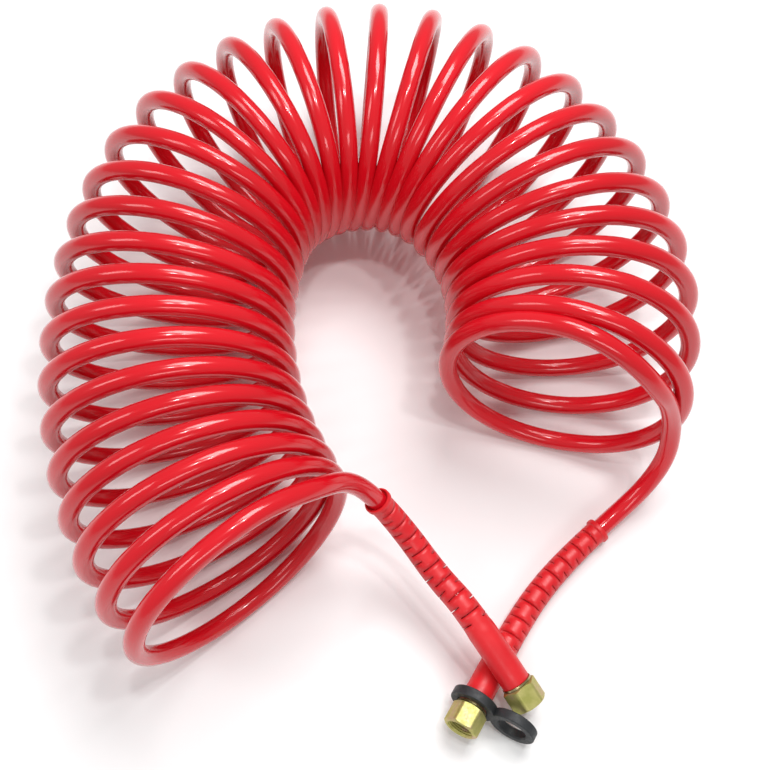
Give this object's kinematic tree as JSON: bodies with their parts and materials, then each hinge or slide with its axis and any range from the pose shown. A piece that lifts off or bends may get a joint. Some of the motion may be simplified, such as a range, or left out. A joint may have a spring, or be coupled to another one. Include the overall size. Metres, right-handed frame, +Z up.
{
  "type": "coiled air hose",
  "caption": "Self-retracting coiled pneumatic hose lying in a horseshoe, with slotted kink sleeves, swivelling union nuts and a rubber hanger tab at its two ends.",
  "frame": {"origin": "under the middle of the whole hose, on the surface that it lies on", "axes": "+Z up from the surface; +Y from the two fittings towards the closed end of the horseshoe; +X to the right when the fittings are nearest"},
  "size_m": [0.4112, 0.4881, 0.1588],
  "materials": {
    "hose_red": "glossy",
    "sleeve_red": "semi-gloss",
    "ferrule_steel": "satin",
    "stem_brass": "satin",
    "washer_zinc": "satin",
    "nut_zinc": "yellow zinc, satin",
    "wire_steel": "satin",
    "thrust_plastic": "satin",
    "o_ring_rubber": "matte",
    "tab_rubber": "matte"
  },
  "bodies": {
    "hose": {"hose_coil": "hose_red", "hose_tail_left": "hose_red", "hose_tail_right": "hose_red", "kink_sleeve_left": "sleeve_red", "kink_sleeve_right": "sleeve_red", "crimp_ferrule_left": "ferrule_steel", "crimp_ferrule_right": "ferrule_steel", "fitting_stem_left": "stem_brass", "fitting_stem_right": "stem_brass", "end_washer_left": "washer_zinc", "end_washer_right": "washer_zinc", "nut_wire_left": "wire_steel", "nut_wire_right": "wire_steel", "thrust_washer_left": "thrust_plastic", "thrust_washer_right": "thrust_plastic", "o_ring_left": "o_ring_rubber", "o_ring_right": "o_ring_rubber"},
    "left_nut": {"union_nut_left": "nut_zinc"},
    "right_nut": {"union_nut_right": "nut_zinc"},
    "tab": {"hanger_tab": "tab_rubber"}
  },
  "joints": [
    {"name": "left_nut_turn", "type": "hinge", "parent": "hose", "child": "left_nut", "pos_m": [0.0922, -0.2167, 0.02233], "axis": [0.5477, -0.7681, -0.3318], "continuous": true},
    {"name": "right_nut_turn", "type": "hinge", "parent": "hose", "child": "right_nut", "pos_m": [0.05674, -0.23035, 0.01814], "axis": [-0.4979, -0.8481, 0.1811], "continuous": true},
    {"name": "tab_swing", "type": "hinge", "parent": "hose", "child": "tab", "pos_m": [0.06261, -0.22034, 0.016], "axis": [-0.4979, -0.8481, 0.1811], "range_deg": [0, 178]}
  ]
}
